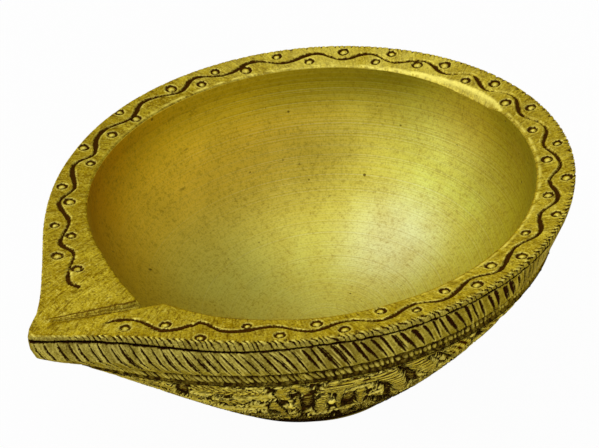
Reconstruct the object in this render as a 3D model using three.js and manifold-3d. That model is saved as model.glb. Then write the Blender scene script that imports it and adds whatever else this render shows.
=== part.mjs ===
// A cast and turned brass diya: a small oil lamp with a round bowl, a flat rim and a spout for the wick.
// Millimetres, +Z up. The origin is the centre of the foot's underside and the spout points
// along -Y. The bowl's upright axis stands a little behind the foot's centre.
import * as THREE from "three";
import { mergeVertices } from "three/addons/utils/BufferGeometryUtils.js";
import Module from "manifold-3d";

const wasm = await Module();
wasm.setup();

// Driving dimensions
const mouthRadius = 49; // the bowl's opening, at the rim's inner edge
const bowlDepth = 38; // from that edge down to the bottom of the bowl
const bowlOffset = 3.1; // the bowl's axis behind the foot's centre, which balances the spout
const rimWidth = 8.5; // from the bowl's opening to the rim's outer edge
const rimRise = 0.8; // the rim climbs outwards, so spilled oil runs back
const rimEdge = 2.3; // height of the rim's notched outer edge
const rimEdgeLean = 0.4; // how far that edge draws in towards its foot
const edgeBevel = 0.3; // the worn corner between the rim's top and its edge
const mouthBevel = 0.4; // the broken corner between the rim's top and the bowl
const mouthDraw = 2.6; // how far the opening is dressed out towards the spout
const mouthDrawSpread = 0.35; // and how wide that runs out, in radians about the axis
const spoutReach = 76.3; // from the bowl's axis to the tip of the spout
const noseLean = 0.4; // how far the tip draws in from its lip up to the rim's top
const rimSpread = 0.24; // how wide the spout runs out into the rim, in radians about the axis
const noseAngle = 0.02; // how blunt the tip is, in radians about the axis

const slantBandHeight = 8.1; // the band of slanting cuts under the rim
const slantBandLean = 3.85; // how far it draws in at its lower edge
const slantNoseUndercut = 8; // how far the nose draws back over the same height
const slantNoseBelly = 2.9; // how far the nose swells out from a straight line
const slantFootSpread = 0.41; // the spout is wider and softer at this band's lower edge

const beadBandHeight = 2.9; // the narrow band of beads below it
const beadBandLean = 0.9;
const beadNoseUndercut = 2.8;
const beadFootSpread = 0.51;
const bandStep = 0.3; // each band stands in this far from the one above

const spigotDepth = 2.25; // the rim plate's collar, which drops into the slant band
const bandWall = 3; // the slant band's upstand around that collar
const linerWall = 1.8; // the turned cup that makes the inside of the bowl
const seatGap = 0.3; // solder gap between pieces that nest

const footRadius = 20.9;
const footHeight = 1.8;
const footBevel = 0.4;
const footSpigotRadius = 8; // a short stub on the foot, let into the shell
const footSpigotHeight = 2;
const shellFloor = 3.7; // the shell's metal between that stub and the cup
const shellFootMargin = 0.6; // the shell stands out from the foot by this much
const shellBelly = 3.7; // how far the shell's side is drawn out between its top and its foot
const footKeel = 3.6; // how far the shell is drawn out under the spout, at the foot
const footSpread = 0.84;
const keelFade = 1.9; // how fast the shell draws in under the spout, from the top down

const channelDepth = 2; // the wick channel where it leaves the bowl
const channelTipDepth = 0.4; // and where it runs out near the tip
const channelWidth = 5.2;
const channelInset = 2.5; // how far inside the opening it starts
const channelEndMargin = 4.5; // plain metal left between the channel and the tip
const channelMouthSide = 7.8; // it leaves the bowl this far to the right of the spout's middle
const channelTipSide = -1.9; // and crosses to the left of it on its way to the tip

const carvingDepth = 1.1; // from the leaves' backs down to the deepest cuts between them
const foliageDepth = 0.5; // down to the small foliage between the leaves
const carvingEdge = 2; // how far a leaf's side takes to fall to that
const carvingRepeats = 4; // the same group of leaves comes round this often
const carvingBorder = 0.02; // plain share of the side left at its top and its foot

const outlineSteps = 96; // points round a piece with a spout
const outlineCrowding = 0.6; // how much closer those points stand at the tip than at the back
const carvingSteps = 156; // points round the carved shell
const carvingCrowding = 0.3;
const carvingRings = 16; // rings of points down its side
const roundSteps = 72; // facets round a piece with no spout
const bowlSteps = 9; // facets down the bowl

// The leaves of one group. Each has a midrib of three points, root, middle and end, given as
// degrees round from the spout and as a share of the way down the side, then a half width in mm.
const leaves = [
  [20.8, 0.08, 29, 0.07, 37, 0.1, 3.3],
  [20.5, 0.35, 29, 0.28, 38, 0.16, 2],
  [22, 0.48, 30, 0.44, 35, 0.3, 2.4],
  [44.5, 0.26, 40.5, 0.16, 42.5, 0.03, 1.9],
  [51, 0.66, 50.3, 0.32, 54.5, 0.12, 1.5],
  [51.5, 0.17, 59, 0.01, 68, 0.14, 3.1],
  [61, 0.06, 69.5, 0.15, 74, 0.44, 3.6],
  [66, 0.4, 69, 0.5, 77, 0.62, 1.9],
  [72.5, 0.02, 79, 0.09, 85, 0.32, 2.5],
  [81.5, 0.01, 88, 0.12, 93.5, 0.36, 2.9],
  [92, 0.02, 99, 0.1, 103, 0.32, 2.7],
  [101, 0.02, 106, 0.11, 110, 0.36, 2.5],
  [27, 0.75, 31, 0.61, 38, 0.54, 2.3],
  [37, 0.82, 40, 0.64, 46, 0.54, 2],
  [58, 0.57, 63, 0.68, 62, 0.89, 2.5],
  [48, 0.68, 52, 0.8, 50, 0.93, 2.3],
  [70, 0.64, 76, 0.7, 76, 0.89, 2.6],
  [84, 0.46, 89, 0.64, 87, 0.86, 2.7],
  [97, 0.41, 102, 0.61, 100, 0.86, 2.7],
];

// Where the cutter went deepest: both ends of a straight hollow, in the same way.
const hollows = [
  [21.5, 0.02, 15.5, 0.22, 1.2],
  [22, 0.26, 32.5, 0.21, 0.8],
  [36, 0.41, 36, 0.55, 1],
  [46.3, 0.19, 46, 0.46, 1.25],
  [54, 0.28, 53.8, 0.46, 0.8],
  [58.2, 0.28, 58, 0.49, 1.5],
  [63.8, 0.39, 65.5, 0.5, 0.9],
  [67, 0.35, 72.5, 0.57, 0.9],
  [70, 0.06, 76, 0.25, 0.9],
  [78.5, 0.27, 84, 0.41, 0.9],
  [89, 0.36, 94, 0.5, 0.9],
  [55, 0.61, 56, 0.77, 1],
  [66.5, 0.64, 67, 0.82, 0.9],
  [80, 0.55, 81.5, 0.77, 1],
  [93, 0.59, 94, 0.82, 1],
];

// Sizes that follow from them
const footSocketTop = footHeight + footSpigotHeight + seatGap;
const bowlFloor = footSocketTop + shellFloor + seatGap + linerWall;
const mouthHeight = bowlFloor + bowlDepth;
const rimRadius = mouthRadius + rimWidth;
const rimTop = mouthHeight + rimRise;
const slantTop = rimTop - rimEdge;
const slantFoot = slantTop - slantBandHeight;
const beadFoot = slantFoot - beadBandHeight;
const spigotFoot = slantTop - spigotDepth;
const slantTopRadius = rimRadius - rimEdgeLean;
const slantFootRadius = slantTopRadius - slantBandLean;
const slantFootReach = spoutReach - slantNoseUndercut;
const beadTopRadius = slantFootRadius - bandStep;
const beadFootRadius = beadTopRadius - beadBandLean;
const beadFootReach = slantFootReach - bandStep - beadNoseUndercut;
const linerTop = spigotFoot;
const shellTopRadius = beadFootRadius + bandStep;
const shellTopReach = beadFootReach + bandStep;
const shellFootRadius = footRadius + shellFootMargin;

// One ring of a form: its radius and height, how far its spout reaches and spreads,
// and where its centre lies behind the foot's centre.
function at(radius, height, reach = radius, spread = rimSpread, centre = bowlOffset) {
  return { radius, height, reach, spread, centre };
}

// Distance from a ring's centre to its outline, at an angle from the spout. Away from the
// spout it is a circle, which swells out ever faster towards a blunt tip.
function outlineRadius(angle, { radius, reach, spread }) {
  const past = Math.hypot(angle, noseAngle) - noseAngle;
  return radius + (reach - radius) * Math.exp(-past / spread);
}

// A turned form whose rings are pulled out to the spout. The rings run up the outside and
// down the inside, and start and end on the axis or close on themselves. A ring with a carved
// face names the way out of that face, and is sunk along it by the depth of the carving.
function spouted(rings, steps = outlineSteps, crowding = outlineCrowding) {
  const profile = rings.map((ring) => new THREE.Vector2(ring.radius, ring.height));
  const geometry = new THREE.LatheGeometry(profile, steps);
  const position = geometry.getAttribute("position");
  for (let i = 0; i < position.count; i++) {
    const ring = rings[i % rings.length];
    const turn = (2 * Math.PI * (Math.floor(i / rings.length) % steps)) / steps;
    const angle = turn - crowding * Math.sin(turn);
    const fromSpout = Math.min(angle, 2 * Math.PI - angle);
    const outline = outlineRadius(fromSpout, ring);
    const sunk = ring.carved ? carvedDepth(angle, ring.carved, outline) : 0;
    const radius = outline - (sunk ? sunk * ring.carved.outward.x : 0);
    const height = ring.height - (sunk ? sunk * ring.carved.outward.y : 0);
    position.setXYZ(i, radius * Math.sin(angle), ring.centre - radius * Math.cos(angle), height);
  }
  return geometry;
}

// How far a spot on the side is from a leaf's midrib or a hollow, and the half width there.
function clearOf(curve, halfWidth, angle, share, radius, length) {
  const groupWidth = 360 / carvingRepeats;
  const around = (degrees) => {
    const apart = (((degrees % groupWidth) + 1.5 * groupWidth) % groupWidth) - groupWidth / 2;
    return THREE.MathUtils.degToRad(apart) * radius;
  };
  const steps = curve.map((place, i) => ({
    far: Math.hypot(around(angle - place.x), (share - place.y) * length),
    width: halfWidth(i / (curve.length - 1)),
  }));
  return Math.max(...steps.map(({ far, width }) => width - far));
}

const leafWidth = (half) => (t) => half * Math.sin(Math.PI * (0.1 + 0.86 * t) ** 0.8) ** 0.6;
const hollowWidth = (half) => () => half;

const leafShapes = leaves.map(([a, b, c, d, e, f, half]) => {
  const [root, middle, end] = [[a, b], [c, d], [e, f]].map(([x, y]) => new THREE.Vector2(x, y));
  const midrib = new THREE.QuadraticBezierCurve(root, middle, end);
  return [midrib.getPoints(10), leafWidth(half)];
});
const hollowShapes = hollows.map(([a, b, c, d, half]) => {
  const line = new THREE.LineCurve(new THREE.Vector2(a, b), new THREE.Vector2(c, d));
  return [line.getPoints(8), hollowWidth(half)];
});

// The depth of the carving at a spot: none on a leaf's back, the whole depth in a hollow.
function carvedDepth(turn, { share, length }, radius) {
  const degrees = THREE.MathUtils.radToDeg(turn);
  const cover = (shapes) => {
    const inside = Math.max(
      ...shapes.map(([curve, width]) => clearOf(curve, width, degrees, share, radius, length)),
    );
    return THREE.MathUtils.clamp(inside / carvingEdge + 0.5, 0, 1);
  };
  if (share < carvingBorder || share > 1 - carvingBorder) return 0;
  const between = foliageDepth + (carvingDepth - foliageDepth) * cover(hollowShapes);
  return between * (1 - cover(leafShapes));
}

// A plain turned form about an upright axis.
function turned(points, centre) {
  const geometry = new THREE.LatheGeometry(points, roundSteps).rotateX(Math.PI / 2);
  return geometry.translate(0, centre, 0);
}

// Points down the bowl's inner face, or one parallel to it, from a height to the axis.
function bowlCurve(offset, from) {
  const width = mouthRadius + offset;
  const depth = bowlDepth + offset;
  const start = Math.asin((mouthHeight - from) / depth);
  const curve = [];
  for (let i = 0; i <= bowlSteps; i++) {
    const t = start + ((Math.PI / 2 - start) * i) / bowlSteps;
    curve.push(at(i < bowlSteps ? width * Math.cos(t) : 0, mouthHeight - depth * Math.sin(t)));
  }
  return curve;
}

const bowlRadius = (offset, height) => bowlCurve(offset, height)[0].radius;

function solidOf(geometry) {
  const bare = geometry.clone();
  bare.deleteAttribute("normal");
  bare.deleteAttribute("uv");
  const merged = mergeVertices(bare);
  return new wasm.Manifold(
    new wasm.Mesh({
      numProp: 3,
      vertProperties: merged.getAttribute("position").array,
      triVerts: new Uint32Array(merged.index.array),
    }),
  );
}

function geometryOf(solid) {
  const mesh = solid.getMesh();
  const geometry = new THREE.BufferGeometry();
  geometry.setAttribute("position", new THREE.BufferAttribute(mesh.vertProperties, 3));
  geometry.setIndex(new THREE.BufferAttribute(mesh.triVerts, 1));
  geometry.computeVertexNormals();
  return geometry;
}

// The V-shaped channel that the wick lies in: a long four-sided cone laid along the rim's top.
function wickChannel() {
  const mouth = bowlOffset - mouthRadius;
  const start = new THREE.Vector3(channelMouthSide, mouth + channelInset, mouthHeight);
  const end = new THREE.Vector3(channelTipSide, bowlOffset - spoutReach + channelEndMargin, rimTop);
  const length = start.distanceTo(end);
  const cutter = new THREE.CylinderGeometry(channelTipDepth, channelDepth, length, 4);
  cutter.scale(channelWidth / (2 * channelDepth), 1, 1);
  const level = Math.hypot(start.x - end.x, start.y - end.y);
  cutter.rotateX(Math.PI + Math.atan2(start.z - end.z, level));
  cutter.rotateZ(-Math.atan2(start.x - end.x, start.y - end.y));
  const middle = start.add(end).multiplyScalar(0.5);
  return cutter.translate(middle.x, middle.y, middle.z);
}

// The flat rim with the spout: a notched edge, a dished top, and a collar below that locates it.
function rimPlate() {
  const collarInset = bandWall + seatGap;
  const mouthEdge = (radius, height) => at(radius, height, radius + mouthDraw, mouthDrawSpread);
  const plate = spouted([
    at(bowlRadius(0, spigotFoot), spigotFoot),
    at(slantTopRadius - collarInset, spigotFoot, spoutReach - 2 * collarInset),
    at(slantTopRadius - collarInset, slantTop, spoutReach - 2 * collarInset),
    at(slantTopRadius, slantTop, spoutReach),
    at(rimRadius, rimTop - edgeBevel, spoutReach - noseLean),
    at(rimRadius - edgeBevel, rimTop, spoutReach - noseLean - edgeBevel),
    mouthEdge(mouthRadius + mouthBevel, mouthHeight),
    mouthEdge(bowlRadius(0, mouthHeight - mouthBevel), mouthHeight - mouthBevel),
    at(bowlRadius(0, spigotFoot), spigotFoot),
  ]);
  return geometryOf(solidOf(plate).subtract(solidOf(wickChannel())));
}

// The leaning band of slanting cuts: a hoop with a rebate that takes the rim plate's collar.
function slantBand() {
  const bore = bowlRadius(linerWall + seatGap, slantFoot);
  const boreTop = bowlRadius(linerWall + seatGap, spigotFoot);
  const rebateFoot = spigotFoot - seatGap;
  const waist = at(
    (slantTopRadius + slantFootRadius) / 2,
    (slantTop + slantFoot) / 2,
    (spoutReach + slantFootReach) / 2 + slantNoseBelly,
    (rimSpread + slantFootSpread) / 2,
  );
  return spouted([
    at(bore, slantFoot),
    at(slantFootRadius, slantFoot, slantFootReach, slantFootSpread),
    waist,
    at(slantTopRadius, slantTop, spoutReach),
    at(slantTopRadius - bandWall, slantTop, spoutReach - 2 * bandWall),
    at(slantTopRadius - bandWall, rebateFoot, spoutReach - 2 * bandWall),
    at(boreTop, rebateFoot),
    at(bore, slantFoot),
  ]);
}

// The narrow hoop that carries the row of beads.
function beadBand() {
  const bore = bowlRadius(linerWall + seatGap, beadFoot);
  const boreTop = bowlRadius(linerWall + seatGap, slantFoot);
  return spouted([
    at(bore, beadFoot),
    at(beadFootRadius, beadFoot, beadFootReach, beadFootSpread),
    at(beadTopRadius, slantFoot, slantFootReach - bandStep, slantFootSpread),
    at(boreTop, slantFoot),
    at(bore, beadFoot),
  ]);
}

// The outer shell that carries the leaf carving, from the bead band down to the foot.
function carvedShell() {
  const chord = new THREE.Vector2(shellTopRadius - shellFootRadius, beadFoot - footHeight);
  const outward = new THREE.Vector2(chord.y, -chord.x).normalize();
  const side = new THREE.QuadraticBezierCurve(
    new THREE.Vector2(shellFootRadius, footHeight),
    new THREE.Vector2(
      (shellTopRadius + shellFootRadius) / 2 + outward.x * shellBelly,
      (beadFoot + footHeight) / 2 + outward.y * shellBelly,
    ),
    new THREE.Vector2(shellTopRadius, beadFoot),
  );
  const topKeel = shellTopReach - shellTopRadius;
  const length = side.getLength();
  const outside = side.getSpacedPoints(carvingRings).map((p, i) => {
    const climb = (p.y - footHeight) / (beadFoot - footHeight);
    const keel = footKeel + (topKeel - footKeel) * climb ** keelFade;
    const spread = footSpread + (beadFootSpread - footSpread) * climb;
    const way = side.getTangentAt(i / carvingRings);
    const carved = { share: 1 - i / carvingRings, length, outward: { x: way.y, y: -way.x } };
    return { ...at(p.x, p.y, p.x + keel, spread, bowlOffset * climb), carved };
  });
  const socketRadius = footSpigotRadius + seatGap;
  const rings = [
    at(0, footSocketTop, 0, footSpread, 0),
    at(socketRadius, footSocketTop, socketRadius, footSpread, 0),
    at(socketRadius, footHeight, socketRadius, footSpread, 0),
    ...outside,
    ...bowlCurve(linerWall + seatGap, beadFoot),
  ];
  return spouted(rings, carvingSteps, carvingCrowding);
}

// The cup that makes the inside of the bowl, turned on a lathe.
function bowlLiner() {
  const points = [...bowlCurve(linerWall, linerTop).reverse(), ...bowlCurve(0, linerTop)];
  return turned(
    points.map((p) => new THREE.Vector2(p.radius, p.height)),
    bowlOffset,
  );
}

// The flat foot that the lamp stands on.
function footDisc() {
  const spigotTop = footHeight + footSpigotHeight;
  return turned(
    [
      [0, 0],
      [footRadius - footBevel, 0],
      [footRadius, footBevel],
      [footRadius, footHeight],
      [footSpigotRadius, footHeight],
      [footSpigotRadius, spigotTop],
      [0, spigotTop],
    ].map(([radius, height]) => new THREE.Vector2(radius, height)),
    0,
  );
}

function brass(color, roughness) {
  return new THREE.MeshStandardMaterial({ color, roughness, metalness: 1 });
}

function piece(name, geometry, material) {
  const mesh = new THREE.Mesh(geometry, material);
  mesh.name = name;
  return mesh;
}

const engravedBrass = brass(0xa8962f, 0.42);
const carvedBrass = brass(0x8f7f2a, 0.5);
const turnedBrass = brass(0xb3a32c, 0.34);

const diya = new THREE.Group();
diya.add(
  piece("rim_plate", rimPlate(), engravedBrass),
  piece("slant_band", slantBand(), engravedBrass),
  piece("bead_band", beadBand(), carvedBrass),
  piece("carved_shell", carvedShell(), carvedBrass),
  piece("bowl_liner", bowlLiner(), turnedBrass),
  piece("foot_disc", footDisc(), turnedBrass),
);

export default diya;
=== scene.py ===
import math

import bmesh
import bpy
import numpy as np
from mathutils import Matrix, Vector


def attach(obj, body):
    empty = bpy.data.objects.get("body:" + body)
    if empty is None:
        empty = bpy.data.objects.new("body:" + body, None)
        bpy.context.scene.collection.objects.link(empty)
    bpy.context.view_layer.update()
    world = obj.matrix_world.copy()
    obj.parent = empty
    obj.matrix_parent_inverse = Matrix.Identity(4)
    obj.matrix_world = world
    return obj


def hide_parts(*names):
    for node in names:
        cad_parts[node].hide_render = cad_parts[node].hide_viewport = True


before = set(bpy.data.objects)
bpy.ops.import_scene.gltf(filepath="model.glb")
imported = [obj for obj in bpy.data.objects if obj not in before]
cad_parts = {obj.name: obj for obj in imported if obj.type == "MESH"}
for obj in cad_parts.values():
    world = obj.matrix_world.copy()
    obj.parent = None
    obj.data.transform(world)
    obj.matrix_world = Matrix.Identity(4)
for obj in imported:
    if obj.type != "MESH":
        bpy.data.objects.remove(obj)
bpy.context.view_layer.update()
print("frame loaded:", sorted(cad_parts))

# A small cast brass diya. All sizes are in mm until a mesh is finished, then metres.
# Angles go round the bowl from the tip of the spout, positive towards +X.
mm = 0.001
sectors = 60  # steps of a spin, before its hoops are cut finer

form = {
    "bowlMiddle": 3.1,  # the bowl's axis stands this far behind the foot's centre
    "mouthRadius": 49.0,
    "mouthHeight": 47.9,
    "bowlDepth": 38.0,
    "cupWall": 1.8,
    "seatGap": 0.3,
    "rimTop": 48.7,
    "slantTop": 46.4,
    "collarFoot": 44.15,
    "slantFoot": 38.3,
    "beadFoot": 35.4,
    "footTop": 1.8,
    "edgeRadius": 57.1,
    "spoutReach": 76.3,
    "tipRounding": 0.02,
}
boreGap = form["cupWall"] + form["seatGap"]  # from the bowl's face to the pieces around the cup


def unit(value):
    return np.clip(value, 0, 1)


def hump(value, width):
    # 1 where the value is nothing, fading out to both sides.
    return np.exp(-(value / width) ** 2)


def wrapped(degrees):
    return (degrees + 180) % 360 - 180


def around(degrees, place, near, far):
    # 1 within some degrees of a place, and fading to nothing further off.
    return np.interp(np.abs(wrapped(degrees - place)), [near, far], [1, 0])


def tabled(table, degrees):
    table = np.array(table)
    return np.interp(degrees, table[:, 0], table[:, 1])


def handWobble(degrees, seed, low, high):
    # A smooth uneven line that closes on itself, as a hand leaves it, about -1 to 1.
    rng = np.random.default_rng(seed)
    waves = rng.integers(low, high, 7)
    total = np.zeros_like(degrees, dtype=float)
    for wave in waves:
        total += np.sin(np.radians(degrees) * wave + rng.uniform(0, 2 * math.pi))
    return total / math.sqrt(len(waves))


def patches(degrees, seed, low, high, middle=0.5, swing=0.5):
    return unit(middle + swing * handWobble(degrees, seed, low, high))


def bowlRadius(height, wall=0.0):
    # Radius of the bowl's inner face, or of one parallel to it, at a height.
    depth = form["bowlDepth"] + wall
    share = np.clip((form["mouthHeight"] - height) / depth, -1, 1)
    return (form["mouthRadius"] + wall) * np.sqrt(1 - share ** 2)


def corner(radius, height, rows=1, reach=None, spread=0.24, middle=form["bowlMiddle"]):
    return (radius, height, radius if reach is None else reach, spread, middle, rows)


def pulledOut(angle, radius, reach, spread):
    past = np.hypot(angle, form["tipRounding"]) - form["tipRounding"]
    return radius + (reach - radius) * np.exp(-past / spread)


def lengthRound(radius, reach, spread):
    # A function from degrees to mm along an outline, starting at the tip.
    degrees = np.linspace(-180, 180, 7201)
    angle = np.radians(degrees)
    out = pulledOut(angle, radius, reach, spread)
    x, y = out * np.sin(angle), -out * np.cos(angle)
    run = np.concatenate([[0], np.cumsum(np.hypot(np.diff(x), np.diff(y)))])
    run -= np.interp(0, degrees, run)
    return lambda where: np.interp(where, degrees, run)


def turnForm(name, corners, columns, crowding=0.25, closed=True):
    # A profile of corners is spun round Z, its hoops are cut finer, and its rings are then
    # pulled out to the spout. Each point keeps its station, its place along the corners.
    bm = bmesh.new()
    station = bm.verts.layers.float.new("station")
    ring = []
    for number, place in enumerate(corners):
        point = bm.verts.new((0, -place[0], place[1]))
        point[station] = number
        ring.append(point)
    for number in range(len(ring) if closed else len(ring) - 1):
        bm.edges.new((ring[number], ring[(number + 1) % len(ring)]))
    for rows in sorted({place[5] for place in corners} - {1}):
        chosen = [edge for edge in bm.edges
                  if all(v[station] % 1 == 0 for v in edge.verts)
                  and corners[int(min(v[station] for v in edge.verts))][5] == rows
                  and abs(edge.verts[0][station] - edge.verts[1][station]) == 1]
        bmesh.ops.subdivide_edges(bm, edges=chosen, cuts=rows - 1)
    bmesh.ops.spin(bm, geom=bm.verts[:] + bm.edges[:], cent=(0, 0, 0), axis=(0, 0, 1),
                   dvec=(0, 0, 0), angle=2 * math.pi, steps=sectors, use_merge=True)
    if not closed:
        bmesh.ops.remove_doubles(bm, verts=bm.verts, dist=0.0001)
    hoops = [edge for edge in bm.edges if edge.verts[0][station] == edge.verts[1][station]]
    bmesh.ops.subdivide_edges(bm, edges=hoops, cuts=columns // sectors - 1)
    bmesh.ops.recalc_face_normals(bm, faces=bm.faces)
    mesh = bpy.data.meshes.new(name)
    bm.to_mesh(mesh)
    bm.free()

    place = np.empty(len(mesh.vertices) * 3)
    mesh.vertices.foreach_get("co", place)
    place = place.reshape(-1, 3)
    stations = np.empty(len(mesh.vertices))
    mesh.attributes["station"].data.foreach_get("value", stations)
    mesh.attributes.remove(mesh.attributes["station"])
    table = np.array([c[:5] for c in corners], dtype=float)
    stops = np.arange(len(corners))
    radius, height, reach, spread, middle = (
        np.interp(stations, stops, table[:, k]) for k in range(5))
    turn = np.arctan2(place[:, 0], -place[:, 1])
    angle = turn - crowding * np.sin(turn)  # the points crowd towards the spout
    out = pulledOut(angle, radius, reach, spread)
    base = np.stack([out * np.sin(angle), middle - out * np.cos(angle), height], 1)
    return {"name": name, "mesh": mesh, "base": base, "station": stations,
            "degrees": np.degrees(angle), "out": out, "height": height}


def normalsOf(turned):
    mesh = turned["mesh"]
    mesh.vertices.foreach_set("co", turned["base"].ravel())
    mesh.update()
    normals = np.empty(len(mesh.vertices) * 3)
    mesh.vertex_normals.foreach_get("vector", normals)
    return normals.reshape(-1, 3)


def finishPiece(turned, raised, marks, material, nodeName):
    # Moves every point along its normal by the relief, and keeps what the brass needs to know:
    # how far inside a dark cut a point lies in mm, which also carries painted shade at the shell's
    # foot and under the bead band; how much a hand polishes it, with painted highlights on edges,
    # crests and pearls; and how brown the metal has gone there, with painted shade towards the
    # shell's foot.
    mesh = turned["mesh"]
    shape = (turned["base"] + normalsOf(turned) * raised[:, None]) * mm
    mesh.vertices.foreach_set("co", shape.ravel())
    for label, values in marks.items():
        layer = mesh.attributes.new(label, "FLOAT", "POINT")
        layer.data.foreach_set("value", values.astype(np.float32))
    mesh.polygons.foreach_set("use_smooth", np.ones(len(mesh.polygons), dtype=bool))
    mesh.update()
    mesh.set_sharp_from_angle(angle=math.radians(64))
    mesh.materials.append(material)
    piece = bpy.data.objects.new(turned["name"], mesh)
    bpy.context.scene.collection.objects.link(piece)
    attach(piece, "root")
    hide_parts(nodeName)
    print(turned["name"], len(mesh.polygons), "faces")
    return piece


def faceMeans(mesh, values):
    # The mean of a per-point value over each face.
    starts = np.empty(len(mesh.polygons), dtype=np.int32)
    totals = np.empty(len(mesh.polygons), dtype=np.int32)
    points = np.empty(len(mesh.loops), dtype=np.int32)
    mesh.polygons.foreach_get("loop_start", starts)
    mesh.polygons.foreach_get("loop_total", totals)
    mesh.loops.foreach_get("vertex_index", points)
    return np.add.reduceat(values[points], starts) / totals


def srgb(code):
    # A hex colour as the linear values that Blender's shaders take.
    parts = [int(code[k:k + 2], 16) / 255 for k in (1, 3, 5)]
    return tuple(c / 12.92 if c <= 0.04045 else ((c + 0.055) / 1.055) ** 2.4
                 for c in parts) + (1.0,)


def perMetre(size):
    # A pattern's scale from the size of its marks in mm.
    return 1 / (size * mm)


def addNode(tree, kind, inputs, out=0, **settings):
    # One node with its settings. Inputs are listed in order, or given by name or place. One
    # that is a socket is linked, any other is set. Gives back one output, or all for None.
    node = tree.nodes.new("ShaderNode" + kind)
    for key, value in settings.items():
        setattr(node, key, value)
    for key, value in inputs.items() if isinstance(inputs, dict) else enumerate(inputs):
        if isinstance(value, bpy.types.NodeSocket):
            tree.links.new(value, node.inputs[key])
        else:
            node.inputs[key].default_value = value
    return node.outputs if out is None else node.outputs[out]


def bareMaterial(name):
    material = bpy.data.materials.new(name)
    material.use_nodes = True
    material.node_tree.nodes.clear()
    return material, material.node_tree


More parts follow.
